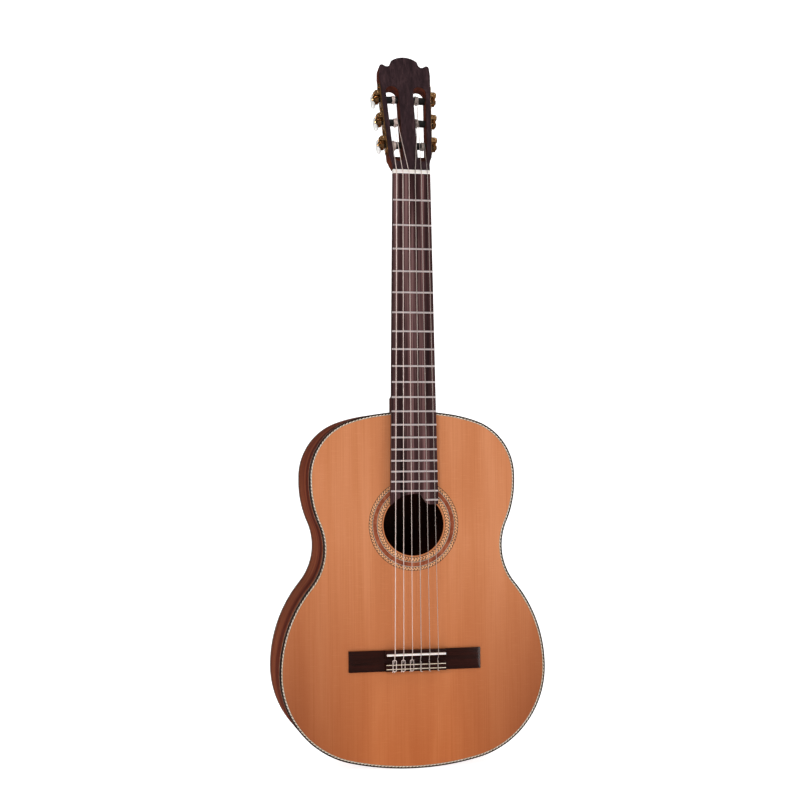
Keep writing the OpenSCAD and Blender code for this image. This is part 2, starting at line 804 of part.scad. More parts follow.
// a point of the head's frame in the guitar's frame
function from_head(p) = [p.x, head_y + p.z * sin(head_tilt) + p.y * cos(head_tilt),
    head_z + p.z * cos(head_tilt) - p.y * sin(head_tilt)];
function to_head(p) = let (y = p.y - head_y, z = p.z - head_z)
    [p.x, y * cos(head_tilt) - z * sin(head_tilt), y * sin(head_tilt) + z * cos(head_tilt)];

// where a string, leaving the nut, touches the front of its winding
function landing(i) =
    let (r = string_r[i],
         start = to_head([nut_x(i), string_y0 - r, 1]),
         axis_v = tuner_v(i) + (edge_at(tuner_v(i)) - coil_x[i]) * tan(edge_turn),
         reach = roller_r + 3 * r + 0.15,
         dv = start.z - axis_v,
         dy = start.y - roller_y,
         a = atan2(dy, dv) + acos(reach / norm([dv, dy])))
    from_head([side_of(i) * (coil_x[i] + coil_w[i] / 2 - r), roller_y + reach * sin(a),
        axis_v + reach * cos(a)]);

function string_route(i) =
    let (r = string_r[i], x = saddle_x(i), up = tie_y - r - GAP)
    [landing(i),
     [nut_x(i), string_y0 - r, 1],
     [nut_x(i), string_y0 - r, 0],
     [x, saddle_y - r - GAP, saddle_z],
     [x, tie_hole_y - 0.6, tie_front + 1.2],
     [x, tie_hole_y, tie_front - 0.2],
     [x, tie_hole_y, bridge_z0 + 0.2],
     [x, tie_hole_y - 0.5, bridge_z0 - 0.8],
     [x, tie_y + 0.6, bridge_z0 - 0.8],
     [x, up, bridge_z0 + 0.3],
     [x, up, tie_front - 0.2]];

function unit(v) = v / norm(v);

// a round tube swept along the route's points
module string(i) {
    sides = 8;
    route = string_route(i);
    last = len(route) - 1;
    ring_at = function (k)
        let (t0 = unit(route[max(k, 1)] - route[max(k, 1) - 1]),
             t1 = unit(route[min(k + 1, last)] - route[min(k, last - 1)]),
             t = unit(t0 + t1),
             e = unit([1, 0, 0] - t.x * t),
             f = cross(t, e) / sqrt((1 + t0 * t1) / 2))
        [for (j = [0:sides - 1]) let (a = 360 * (j + 0.5) / sides)
            route[k] + string_r[i] * (cos(a) * e + sin(a) * f)];
    color(i < 3 ? "#c8c4ba" : "#e6e2da") polyhedron(
        points = [for (k = [0:last]) each ring_at(k)],
        faces = concat(
            [[for (j = [0:sides - 1]) j]],
            [[for (j = [sides - 1:-1:0]) last * sides + j]],
            [for (k = [0:last - 1], j = [0:sides - 1])
                let (n = (j + 1) % sides)
                [k * sides + j, (k + 1) * sides + j, (k + 1) * sides + n, k * sides + n]]));
}

module string_winding(i) {
    axis_x = edge_at(tuner_v(i)) - coil_x[i];
    color(i < 3 ? "#c8c4ba" : "#e6e2da") place(i) turn_x() translate([0, 0, -axis_x - coil_w[i] / 2])
        difference() {
            cylinder(h = coil_w[i], r = roller_r + 2 * string_r[i], $fn = FINE);
            translate([0, 0, -1]) cylinder(h = coil_w[i] + 2, r = roller_r, $fn = FINE);
        }
}

// ---- the whole ------------------------------------------------------------------------------

soundboard();
back_plate();
side(-1);  // side_bass
side(1);  // side_treble
neck();
headstock();
head_veneer();
heel_cap();
fingerboard();
frets();
nut();
bridge();
saddle();
tie_block_trim();
rosette();
binding_top();
purfling_top();
binding_back();
linings();
soundboard_braces();
back_braces();
tail_block();
tuner_plates();
plate_screws();
for (n = [1:6]) {
    string_roller(6 - n);
    tuner_gear(6 - n);
    tuner_worm(6 - n);
    tuner_button(6 - n);
    string_winding(6 - n);
    string(6 - n);
}
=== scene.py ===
"""Classical guitar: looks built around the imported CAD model.

Lengths are in millimetres until a mesh is made. X runs to the treble side, Y to the back and Z up the neck,
from the middle of the nut line.
"""

import math

import bmesh
import bpy
from mathutils import Matrix, Vector, noise


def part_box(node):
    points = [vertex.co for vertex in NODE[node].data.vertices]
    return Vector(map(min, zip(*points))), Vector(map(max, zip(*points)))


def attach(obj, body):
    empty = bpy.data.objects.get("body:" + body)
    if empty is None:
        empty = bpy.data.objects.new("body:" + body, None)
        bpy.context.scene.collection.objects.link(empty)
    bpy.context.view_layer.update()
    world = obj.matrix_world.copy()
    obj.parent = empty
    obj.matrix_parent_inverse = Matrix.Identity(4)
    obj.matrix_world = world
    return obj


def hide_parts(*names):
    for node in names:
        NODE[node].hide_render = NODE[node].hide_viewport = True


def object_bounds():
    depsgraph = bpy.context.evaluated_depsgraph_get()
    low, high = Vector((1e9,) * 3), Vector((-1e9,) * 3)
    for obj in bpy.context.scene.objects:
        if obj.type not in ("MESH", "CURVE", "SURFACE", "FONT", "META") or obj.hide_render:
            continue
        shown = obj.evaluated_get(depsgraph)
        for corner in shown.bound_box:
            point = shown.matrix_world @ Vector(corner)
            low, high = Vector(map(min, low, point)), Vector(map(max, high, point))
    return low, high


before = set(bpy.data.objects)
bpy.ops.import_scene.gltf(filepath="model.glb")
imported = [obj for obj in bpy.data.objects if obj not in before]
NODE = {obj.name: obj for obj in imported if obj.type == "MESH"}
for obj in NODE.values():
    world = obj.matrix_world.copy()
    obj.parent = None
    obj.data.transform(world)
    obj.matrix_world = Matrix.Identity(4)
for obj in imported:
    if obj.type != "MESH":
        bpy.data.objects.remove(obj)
CAD_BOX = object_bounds()
MM = 0.001
TAU = 2 * math.pi


def corners(node):
    """A CAD node's lowest and highest corners in millimetres."""
    low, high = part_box(node)
    return low / MM, high / MM


# ---- sizes ----------------------------------------------------------------------------------

SCALE = 650.0
BODY_LOW, BODY_HIGH = corners("binding_top")
BOARD_T = corners("fingerboard")[1].y
TOP_Y = corners("soundboard")[0].y
INNER_Y = corners("soundboard")[1].y
BODY_DEPTH = 106
BACK_Y = TOP_Y + BODY_DEPTH
# how far the back plate's two faces lie in from the back's arch
PANEL_FACE, PANEL_INSIDE = 0.2, 2.8
BODY_FOOT = BODY_LOW.z
ABOVE_FRET_12 = 3
BODY_TOP = ABOVE_FRET_12 - SCALE / 2
BODY_L = BODY_TOP - BODY_FOOT
LOWER_W = 2 * BODY_HIGH.x
UPPER_W = 286.0
ARCH_R = 4500.0
BACK_LEAN = math.tan(math.radians(0.354))
RIB_T = 2.2
BINDING_H = 6.0
SIDE_LINE = 0.6
HOLE_R = 42.0
HOLE_ABOVE_SADDLE = 171
HOLE_Z = HOLE_ABOVE_SADDLE - SCALE
RING_SIDES = 144
ROSETTE_R0, ROSETTE_R1 = 44.1, 62.2
# the depth of the rosette's groove, and how far inlaid lines stand above the soundboard
GROOVE = 0.8
PROUD = 0.02
NUT_HALF = corners("nut")[1].x
NUT_T = corners("nut")[1].z
BOARD_FLARE = 5
HEAD_TILT = math.radians(15)
HEAD_Y = 1.5
# the head widens upwards: its edges' lean, and its half width at one height
EDGE_TURN = math.radians(2.93)
HEAD_HALF, HEAD_HALF_AT = 29.9, 20
FIRST_TUNER, TUNER_STEP = 40, 35
ROLLER_R = 5.0
ROLLER_Y = 10.0
WORM_X, WORM_Z = 5.8, 9.2
WORM_LEAD = math.pi * 0.8
WORM_TURNS = 3
PLATE_X = 1.22
NUT_SPREAD, SADDLE_SPREAD = 43, 60
NUT_TOP_Y, SADDLE_TOP_Y = -1.5, -5.5
TIE_FRONT, TIE_REAR = -SCALE - 14.2, -SCALE - 25.5
# by string: its radius, and the middle and the width of its winding on the roller
STRING_R = {6: 0.56, 5: 0.46, 4: 0.38, 3: 0.51, 2: 0.41, 1: 0.36}
COIL_X = {6: 20.5, 5: 16.5, 4: 17, 3: 15.5, 2: 13.5, 1: 20}
COIL_W = {6: 6, 5: 5.5, 4: 5, 3: 6, 2: 5.5, 1: 5}


# ---- shapes ---------------------------------------------------------------------------------


def arc(centre, radius, start, end, count):
    """count + 1 points along an arc in a plane."""
    return [
        centre + radius * Vector((math.cos(a), math.sin(a)))
        for a in (start + (end - start) * i / count for i in range(count + 1))
    ]


def bearing(v):
    """The angle of a direction in a plane."""
    return math.atan2(v.y, v.x)


def half_body():
    """The body's edge from the tail's middle to the neck, as points in X and Z above the tail."""
    tail_r, low_r, low_r2, waist_r = 380, 124.5, 180, 80
    up_r2, up_r, up_flat, shoulder_r = 143, 80, 5.6, 205
    fall, sh_x = math.radians(7.4), 48
    half_low, half_up = LOWER_W / 2, UPPER_W / 2
    c_tail = Vector((0, tail_r))
    z_low = tail_r - math.sqrt((tail_r - low_r) ** 2 - (half_low - low_r) ** 2)
    c_low, c_low2 = Vector((half_low - low_r, z_low)), Vector((half_low - low_r2, z_low))
    c_sh = Vector((sh_x, BODY_L - sh_x * math.tan(fall)))
    c_sh -= shoulder_r * Vector((math.sin(fall), math.cos(fall)))
    z_up = c_sh.y + math.sqrt((shoulder_r - up_r) ** 2 - (half_up - up_r - c_sh.x) ** 2)
    c_up, c_up2 = Vector((half_up - up_r, z_up)), Vector((half_up - up_r2, z_up - up_flat))
    between = c_up2 - c_low2
    along = between.normalized()
    r1, r2, gap = low_r2 + waist_r, up_r2 + waist_r, between.length
    reach = (r1 * r1 - r2 * r2 + gap * gap) / (2 * gap)
    off = math.sqrt(r1 * r1 - reach * reach)
    c_waist = c_low2 + reach * along + off * Vector((along.y, -along.x))
    a_tail, a_low = bearing(c_low - c_tail), bearing(c_waist - c_low2)
    a_up, a_sh = bearing(c_up2 - c_waist), bearing(c_up - c_sh)
    return (
        arc(c_tail, tail_r, -math.pi / 2, a_tail, 40)
        + arc(c_low, low_r, a_tail, 0, 60)
        + arc(c_low2, low_r2, 0, a_low, 40)
        + arc(c_waist, waist_r, a_low + math.pi, a_up, 50)
        + arc(c_up2, up_r2, a_up - math.pi, 0, 40)
        + arc(c_up, up_r, 0, a_sh, 50)
        + arc(c_sh, shoulder_r, a_sh, math.pi / 2 - fall, 20)
        + [Vector((0, BODY_L))]
    )


def evenly(points, count):
    """count + 1 points at equal distances along a line of points."""
    lengths = [0.0]
    for a, b in zip(points, points[1:]):
        lengths.append(lengths[-1] + (b - a).length)
    result, k = [], 0
    for i in range(count + 1):
        s = lengths[-1] * i / count
        while k < len(points) - 2 and lengths[k + 1] < s:
            k += 1
        step = max(lengths[k + 1] - lengths[k], 1e-9)
        result.append(points[k].lerp(points[k + 1], min(1, (s - lengths[k]) / step)))
    return result


def body_edge(per_half=360):
    """The closed edge as (point, outward normal) pairs, anticlockwise from the tail's middle."""
    half = evenly(half_body(), per_half)
    loop = half + [Vector((-p.x, p.y)) for p in half[-2:0:-1]]
    pairs = []
    for i, p in enumerate(loop):
        t = (loop[(i + 1) % len(loop)] - loop[i - 1]).normalized()
        pairs.append((Vector((p.x, p.y + BODY_FOOT)), Vector((t.y, -t.x))))
    return pairs


EDGE = body_edge()


def edge_loop(inset, y, points=EDGE):
    """The body's edge moved inwards; y is a number or a function of x and z."""
    loop = []
    for p, n in points:
        q = p - inset * n
        loop.append(Vector((q.x, y(q.x, q.y) if callable(y) else y, q.y)))
    return loop


def back_y(ahead):
    """The arched back's Y at a place, moved towards the front by ahead."""
    middle = BODY_FOOT + BODY_L / 2

    def at(x, z):
        dz = z - middle
        return BACK_Y - (x * x + dz * dz) / (2 * ARCH_R) - dz * BACK_LEAN - ahead

    return at


def about_hole(radius, y, a):
    """The point at angle a on a circle round the soundhole's middle."""
    return Vector((radius * math.cos(a), y, HOLE_Z + radius * math.sin(a)))


def circle(radius, y):
    """A circle round the soundhole's middle."""
    return [about_hole(radius, y, TAU * i / RING_SIDES) for i in range(RING_SIDES)]


def head_point(x, y, z):
    """A point of the head's own frame in the guitar's frame."""
    c, s = math.cos(HEAD_TILT), math.sin(HEAD_TILT)
    return Vector((x, HEAD_Y + z * s + y * c, NUT_T + z * c - y * s))


def side_of(n):
    """1 for the treble side, with tuners 1 to 3, and -1 for the bass side."""
    return 1 if n <= 3 else -1


def tuner_height(n):
    """The height of tuner n's roller up the head."""
    return FIRST_TUNER + TUNER_STEP * (n - 1 if n <= 3 else 6 - n)


def edge_at(v):
    """The head's half width at height v up the head."""
    return HEAD_HALF + (v - HEAD_HALF_AT) * math.tan(EDGE_TURN)


def tuner_point(n, x, y, z):
    """A point of tuner n's frame on the head's edge (X outwards, Y back, Z up) in the guitar's frame."""
    v, c, s = tuner_height(n), math.cos(EDGE_TURN), math.sin(EDGE_TURN)
    return head_point(side_of(n) * (edge_at(v) + x * c + z * s), ROLLER_Y + y, v - x * s + z * c)


def make(name, points, faces, material, body="guitar", stands_for=(), slot=None, smooth=True,
         kinds=None):
    """A mesh piece from points in millimetres. kinds gives each face its material's number."""
    mesh = bpy.data.meshes.new(name)
    mesh.from_pydata([p * MM for p in points], [], faces)
    mesh.validate()
    for m in material if isinstance(material, tuple) else (material,):
        mesh.materials.append(m)
    if kinds:
        mesh.polygons.foreach_set("material_index", kinds)
    mesh.polygons.foreach_set("use_smooth", [smooth] * len(mesh.polygons))
    piece = bpy.data.objects.new(name, mesh)
    bpy.context.scene.collection.objects.link(piece)
    tidy_normals(mesh)
    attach(piece, body)
    if stands_for:
        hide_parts(*([stands_for] if isinstance(stands_for, str) else stands_for))
    return piece


def tidy_normals(mesh):
    """Turns every face outwards."""
    work = bmesh.new()
    work.from_mesh(mesh)
    bmesh.ops.recalc_face_normals(work, faces=work.faces)
    work.to_mesh(mesh)
    work.free()


def loft(loops, wrap=False, closed=True, caps=False):
    """Points and faces between loops of equal length; wrap joins the last loop to the first."""
    m, faces = len(loops[0]), []
    for k in range(len(loops) if wrap else len(loops) - 1):
        k2 = (k + 1) % len(loops)
        for j in range(m if closed else m - 1):
            j2 = (j + 1) % m
            faces.append((k * m + j, k * m + j2, k2 * m + j2, k2 * m + j))
    if caps:
        faces.append(tuple(range(m - 1, -1, -1)))
        faces.append(tuple((len(loops) - 1) * m + j for j in range(m)))
    return [p for loop in loops for p in loop], faces


def joined(*parts):
    """Several (points, faces) pairs as one."""
    points, faces = [], []
    for ps, fs in parts:
        faces += [tuple(i + len(points) for i in f) for f in fs]
        points += ps
    return points, faces


def soften(piece, width, segments=2, angle=32):
    """Rounds a piece's hard edges, and shades what is left smooth."""
    mesh = piece.data
    # the CAD export's own normals and sharp edges would override the bevel's shading
    for extra in ("custom_normal", "sharp_edge"):
        if extra in mesh.attributes:
            mesh.attributes.remove(mesh.attributes[extra])
    mesh.polygons.foreach_set("use_smooth", [True] * len(mesh.polygons))
    weld = piece.modifiers.new("weld", "WELD")
    weld.merge_threshold = 2e-6
    bevel = piece.modifiers.new("bevel", "BEVEL")
    bevel.width, bevel.segments = width * MM, segments
    bevel.limit_method, bevel.angle_limit = "ANGLE", math.radians(angle)
    bevel.harden_normals = True
    bevel.use_clamp_overlap = True


def tube(path, radius, sides):
    """A closed round tube along points; radius is a number or a list with one for each point."""
    loops = []
    side = Vector((1, 0, 0))
    for k, p in enumerate(path):
        t = (path[min(k + 1, len(path) - 1)] - path[max(k - 1, 0)]).normalized()
        side = (side - side.dot(t) * t).normalized()
        up = t.cross(side)
        r = radius[k] if isinstance(radius, list) else radius
        loops.append([p + r * (math.cos(a) * side + math.sin(a) * up)
                      for a in (TAU * (j + 0.5) / sides for j in range(sides))])
    return loft(loops, caps=True)


def lathe(profile, place):
    """Turns (along, radius) pairs about an axis; place maps (along, u, v) to a point."""
    sides = 32
    turns = [TAU * j / sides for j in range(sides)]
    loops = [[place(along, r * math.cos(a), r * math.sin(a)) for a in turns] for along, r in profile]
    return loft(loops, caps=True)


def curve_through(points, steps):
    """A smooth line through the points (Catmull-Rom), with steps points for each stretch."""
    line = []
    for i in range(len(points) - 1):
        a, b = points[max(i - 1, 0)], points[i]
        c, d = points[i + 1], points[min(i + 2, len(points) - 1)]
        for s in range(steps):
            t = s / steps
            line.append(0.5 * (2 * b + (c - a) * t + (2 * a - 5 * b + 4 * c - d) * t * t
                               + (3 * b - a - 3 * c + d) * t ** 3))
    return line + [points[-1]]


# ---- materials ------------------------------------------------------------------------------


def srgb(r, g, b):
    """An sRGB colour of 0 to 255 as the linear RGBA that Blender takes."""
    def linear(c):
        return c / 12.92 if c <= 0.04045 else ((c + 0.055) / 1.055) ** 2.4

    return tuple(linear(c / 255) for c in (r, g, b)) + (1,)


class Shader:
    """A Principled material with short calls for the nodes that feed it."""

    def __init__(self, name, **values):
        self.material = bpy.data.materials.new(name)
        self.material.use_nodes = True
        self.tree = self.material.node_tree
        self.out = self.tree.nodes["Principled BSDF"]
        for key, value in values.items():
            self.out.inputs[key.replace("_", " ")].default_value = value

    def node(self, kind, props=None, **inputs):
        """A node with its settings in props and its inputs by name."""
        n = self.tree.nodes.new("ShaderNode" + kind)
        for key, value in (props or {}).items():
            setattr(n, key, value)
        for key, value in inputs.items():
            self.feed(n.inputs[key.replace("_", " ")], value)
        return n

    def feed(self, socket, value):
        """Links a node's output to a socket, or sets the socket to a plain value."""
        if isinstance(value, bpy.types.NodeSocket):
            self.tree.links.new(value, socket)
        else:
            socket.default_value = value

    def place(self, scale):
        """Object coordinates in metres, times scale."""
        coords = self.node("TexCoord").outputs["Object"]
        return self.node("Mapping", Vector=coords, Scale=scale).outputs["Vector"]

    def noise(self, scale, detail, rough, twist=0.0):
        return self.node("TexNoise", Vector=self.place(scale), Scale=1.0, Detail=detail, Roughness=rough,
                         Distortion=twist).outputs["Fac"]

    def ramp(self, fac, *stops):
        """A colour ramp through (place, colour or grey level) stops."""
        n = self.node("ValToRGB", Fac=fac)
        ramp = n.color_ramp
        while len(ramp.elements) < len(stops):
            ramp.elements.new(0.5)
        for element, (at, colour) in zip(ramp.elements, stops):
            element.position = at
            element.color = colour if isinstance(colour, tuple) else (colour, colour, colour, 1)
        return n.outputs["Color"]

    def mix(self, fac, a, b, mode="MIX"):
        n = self.node("Mix", {"data_type": "RGBA", "blend_type": mode})
        for socket, value in zip((n.inputs[0], n.inputs[6], n.inputs[7]), (fac, a, b)):
            self.feed(socket, value)
        return n.outputs[2]

    def math(self, op, a, b=0.0):
        n = self.node("Math", {"operation": op})
        for socket, value in zip(n.inputs, (a, b)):
            self.feed(socket, value)
        return n.outputs[0]

    def span(self, value, low, high):
        """Moves a 0 to 1 value into low to high."""
        return self.node("MapRange", Value=value, To_Min=low, To_Max=high).outputs["Result"]

    def bump(self, height, strength, distance):
        """Roughens the surface; distance is the scale of the height in metres."""
        n = self.node("Bump", Strength=strength, Distance=distance, Height=height)
        self.feed(self.out.inputs["Normal"], n.outputs["Normal"])

    def done(self, colour, rough):
        """Joins the colour and the roughness to the shader, and gives the material."""
        self.feed(self.out.inputs["Base Color"], colour)
        self.feed(self.out.inputs["Roughness"], rough)
        return self.material


def cedar():
    """The soundboard: fine upright grain lines, with faint silk across them."""
    s = Shader("cedar_top", Specular_IOR_Level=0.3, IOR=1.35)
    lines = s.noise((780, 20, 4.5), 3, 0.6, 0.3)
    broad = s.noise((30, 10, 3.5), 4, 0.5, 0.6)
    silk = s.noise((60, 10, 900), 2, 0.5)
    colour = s.ramp(broad, (0.28, srgb(192, 118, 75)), (0.5, srgb(199, 126, 83)), (0.72, srgb(206, 135, 93)))
    colour = s.mix(s.ramp(lines, (0.32, 0.36), (0.52, 0.0)), colour, srgb(178, 104, 60))
    colour = s.mix(s.ramp(silk, (0.55, 0.0), (0.75, 0.16)), colour, srgb(226, 160, 112))
    # painted shade: the lower half is darker than the shoulders, and darkest towards its edges
    where = s.node("SeparateXYZ", Vector=s.place((1, 1, 1)))
    low = s.node("MapRange", Value=where.outputs["Z"], From_Min=-0.50, From_Max=-0.78).outputs["Result"]
    edge_shade = s.node("MapRange", Value=s.math("ABSOLUTE", where.outputs["X"]), From_Min=0.05,
                  From_Max=0.19).outputs["Result"]
    colour = s.mix(low, colour, s.mix(1.0, colour, srgb(238, 214, 182), "MULTIPLY"))
    colour = s.mix(s.math("MULTIPLY", low, edge_shade), colour, s.mix(1.0, colour, srgb(190, 182, 190), "MULTIPLY"))
    s.bump(lines, 0.10, 0.0001)
    return s.done(colour, s.span(broad, 0.42, 0.55))


def stripes(name, across, dark, mid, light, gloss=0.3, rough=(0.34, 0.46), long=3.0, edges=(0.3, 0.7),
            coat=0.0):
    """Straight-grained wood. across is the scale on X, Y and Z: high across the grain, low along it.

    The broad figure is long times as coarse as the grain lines, and edges is where it is dark and light.
    """
    s = Shader(name, Specular_IOR_Level=gloss, IOR=1.3, Coat_Weight=coat, Coat_Roughness=0.25)
    figure = s.noise(tuple(a / long for a in across), 5, 0.6, 0.5)
    lines = s.noise(across, 6, 0.65, 0.3)
    pore = s.noise(tuple(a * 5 for a in across), 2, 0.5)
    colour = s.ramp(figure, (edges[0], dark), (0.5, mid), (edges[1], light))
    colour = s.mix(s.ramp(lines, (0.35, 0.6), (0.55, 0.0)), colour, dark)
    pore_dark = tuple(c * 0.35 for c in dark[:3]) + (1,)
    colour = s.mix(s.ramp(pore, (0.30, 0.35), (0.42, 0.0)), colour, pore_dark)
    s.bump(lines, 0.12, 0.0001)
    return s.done(colour, s.span(lines, *rough))


def plain(name, colour, second, size, rough, bump=0.1, **values):
    """A moulded or polished material with a faint cloudiness."""
    s = Shader(name, **values)
    cloud = s.noise((size,) * 3, 5, 0.6)
    fine = s.noise((size * 30,) * 3, 3, 0.6)
    s.bump(fine, bump, 0.00005)
    return s.done(s.ramp(cloud, (0.3, colour), (0.7, second)), s.span(fine, *rough))


CEDAR = cedar()
MAHOGANY_SIDE = stripes("mahogany_side", (3, 64, 3), srgb(82, 30, 20), srgb(120, 55, 35), srgb(148, 80, 48),
                        0.1, (0.5, 0.6), 1.5, edges=(0.38, 0.62))
MAHOGANY_BACK = stripes("mahogany_back", (330, 330, 3), srgb(92, 42, 22), srgb(132, 68, 38),
                        srgb(154, 86, 50))
MAHOGANY_NECK = stripes("mahogany_neck", (240, 240, 5), srgb(58, 24, 17), srgb(86, 38, 26),
                        srgb(110, 54, 36), 0.2)
# the back's inner face: mahogany painted darker than the outer face, as painted shade inside the body
INNER_BACK_SHADE = stripes("inner_back_painted_shade", (330, 330, 3), srgb(38, 18, 11), srgb(54, 27, 17), srgb(70, 36, 23), 0.1)
ROSEWOOD = stripes("rosewood", (330, 330, 5), srgb(22, 12, 13), srgb(66, 41, 42), srgb(134, 100, 99),
                   0.3, (0.36, 0.5), edges=(0.36, 0.64))
VENEER = stripes("rosewood_veneer", (520, 520, 5), srgb(33, 19, 23), srgb(50, 33, 37), srgb(71, 50, 53),
                 0.4, (0.24, 0.34), coat=0.3)
BRIDGE_WOOD = stripes("rosewood_bridge", (7, 120, 300), srgb(24, 6, 2), srgb(42, 11, 4), srgb(58, 18, 8),
                      0.2, (0.24, 0.32), coat=0.6)
BINDING = stripes("rosewood_binding", (90, 300, 90), srgb(26, 16, 14), srgb(44, 28, 24), srgb(62, 42, 36),
                  0.2, coat=0.5)
SPRUCE = stripes("spruce_inside", (300, 300, 6), srgb(186, 146, 96), srgb(212, 176, 126),
                 srgb(226, 196, 150), 0.2, (0.6, 0.75))
MAPLE = stripes("maple_line", (300, 300, 20), srgb(214, 196, 170), srgb(232, 218, 198), srgb(240, 230, 214))
STRAW = stripes("straw_tile", (300, 300, 300), srgb(204, 136, 92), srgb(232, 170, 124), srgb(241, 186, 142))
ROSETTE_BAND = stripes("rosette_band", (260, 260, 260), srgb(112, 52, 33), srgb(150, 78, 51),
                       srgb(176, 102, 70))
DARK_LINE = plain("dark_line", srgb(30, 20, 18), srgb(44, 30, 26), 200, (0.3, 0.4), Coat_Weight=0.5)
BONE = plain("bone", srgb(242, 234, 230), srgb(250, 244, 240), 90, (0.22, 0.34), 0.06,
             Subsurface_Weight=0.15, Subsurface_Radius=(0.002, 0.0015, 0.001), Subsurface_Scale=1.0)
FRET_METAL = plain("fret_metal", srgb(226, 212, 212), srgb(238, 226, 226), 300, (0.24, 0.34), 0.1,
                   Metallic=0.45)
GILT = plain("gilt", srgb(190, 136, 84), srgb(248, 208, 156), 420, (0.14, 0.26), 0.25, Metallic=1.0)
GILT_DARK = plain("gilt_engraved", srgb(92, 54, 32), srgb(240, 188, 128), 620, (0.2, 0.36), 0.8,
                  Metallic=0.9)
BLACK_NYLON = plain("black_nylon", srgb(18, 18, 18), srgb(30, 29, 28), 120, (0.26, 0.4), 0.2)
NYLON = plain("clear_nylon", srgb(196, 180, 172), srgb(212, 198, 190), 80, (0.24, 0.32), 0.02,
              Transmission_Weight=0.4, IOR=1.45)


def pearl():
    """White pearloid, swirled and faintly clouded."""
    s = Shader("pearloid", Coat_Weight=0.5, Coat_Roughness=0.1, IOR=1.5, Subsurface_Weight=0.6,
               Subsurface_Radius=(0.004, 0.004, 0.004), Subsurface_Scale=1.0)
    swirl = s.noise((160, 160, 160), 4, 0.6, 2.2)
    cloud = s.noise((420, 420, 420), 3, 0.5, 1.0)
    colour = s.ramp(swirl, (0.3, srgb(236, 232, 228)), (0.5, srgb(248, 246, 243)), (0.7, srgb(254, 253, 251)))
    colour = s.mix(s.ramp(cloud, (0.5, 0.0), (0.7, 0.3)), colour, srgb(206, 210, 216))
    return s.done(colour, s.span(cloud, 0.16, 0.28))


def wound():
    """Silvered wire wound round a string: fine rings along it."""
    s = Shader("wound_wire", Metallic=0.25)
    z = s.node("SeparateXYZ", Vector=s.place((1, 1, 1))).outputs["Z"]
    wire = 0.00028
    turns = s.math("SINE", s.math("MULTIPLY", z, TAU / wire))
    shade = s.noise((400, 400, 60), 3, 0.6)
    s.bump(turns, 0.25, 0.00003)
    colour = s.ramp(shade, (0.3, srgb(226, 204, 196)), (0.7, srgb(244, 226, 218)))
    return s.done(colour, s.span(shade, 0.3, 0.42))


PEARL = pearl()
WOUND = wound()


def dress(node, material, bevel=0.0, segments=2):
    """Gives a CAD node that stays its finish and rounded edges."""
    piece = NODE[node]
    piece.data.materials.clear()
    piece.data.materials.append(material)
    if bevel:
        soften(piece, bevel, segments)


# ---- body -----------------------------------------------------------------------------------

TOP_INSET = RIB_T + 1.5


def build_top():
    """The soundboard: a plate from the hole to the edge, with a groove for the rosette."""
    outer = edge_loop(TOP_INSET, TOP_Y)
    bearings = [math.atan2(p.z - HOLE_Z, p.x) for p in outer]

    def ray(radius, y):
        return [about_hole(radius, y, a) for a in bearings]

    # from the groove's outer wall over the face to the edge, and round to the inner side
    field = [ray(ROSETTE_R1, TOP_Y + GROOVE), ray(ROSETTE_R1, TOP_Y)]
    for share in (0.15, 0.4, 0.7, 1.0):
        field.append([p.lerp(q, share) for p, q in zip(ray(ROSETTE_R1, TOP_Y), outer)])
    field.append([p + Vector((0, INNER_Y - TOP_Y, 0)) for p in outer])
    # up the hole's rounded edge and over to the groove's inner wall
    hole = [ray(HOLE_R, INNER_Y), ray(HOLE_R, TOP_Y + 0.35), ray(HOLE_R + 0.1, TOP_Y + 0.1),
            ray(HOLE_R + 0.35, TOP_Y), ray(ROSETTE_R0, TOP_Y), ray(ROSETTE_R0, TOP_Y + GROOVE)]
    # the wrap is the groove's floor
    points, faces = loft(field + hole, wrap=True)
    make("soundboard_top", points, faces, CEDAR, stands_for="soundboard", slot="cedar", smooth=False)


def flat_ring(name, r0, r1, material, lift, **options):
    """An inlaid ring, its face lifted a little above the soundboard."""
    y, floor = TOP_Y - lift, TOP_Y + GROOVE
    points, faces = loft([circle(r0, floor), circle(r0, y), circle(r1, y), circle(r1, floor)], wrap=True)
    make(name, points, faces, material, slot="mosaic", smooth=False, **options)


def mosaic_ring(name, r0, r1, tiles, lean, materials):
    """A ring of slanted tiles, each in the next of its materials."""
    points, faces, kinds = [], [], []
    y = TOP_Y - PROUD
    for j in range(tiles + 1):
        points += [about_hole(r0, y, TAU * j / tiles), about_hole(r1, y, TAU * (j + lean) / tiles)]
    for j in range(tiles):
        faces.append((2 * j, 2 * j + 1, 2 * j + 3, 2 * j + 2))
        kinds.append(j % len(materials))
    make(name, points, faces, materials, smooth=False, kinds=kinds)


def build_rosette():
    """Two mosaic bands between fine lines, and a plain band between them."""
    line_half, fillet_half, tile = 0.32, 0.2, 1.4
    flat_ring("rosette_base", ROSETTE_R0, ROSETTE_R1, STRAW, -0.1, stands_for="rosette")
    flat_ring("rosette_middle", 50.8, 56.9, ROSETTE_BAND, 0.0)
    for k, r in enumerate((44.3, 50.2, 57.5, 61.95)):
        flat_ring(f"rosette_line_{k + 1}", r - line_half, r + line_half, DARK_LINE, PROUD)
    for k, r in enumerate((50.75, 56.95)):
        flat_ring(f"rosette_fillet_{k + 1}", r - fillet_half, r + fillet_half, MAPLE, PROUD / 2)
    # each band is two rows of slanted tiles, leaning one way and then the other
    for k, (r0, r1) in enumerate(((44.8, 49.8), (57.9, 61.6))):
        tiles = 3 * round(TAU * (r0 + r1) / 6 / tile)
        for row, lean in enumerate((1.2, -1.2)):
            inner, outer = r0 + (r1 - r0) * row / 2, r0 + (r1 - r0) * (row + 1) / 2
            mosaic_ring(f"mosaic_{k + 1}_{row + 1}", inner, outer, tiles, lean, (DARK_LINE, STRAW, STRAW))


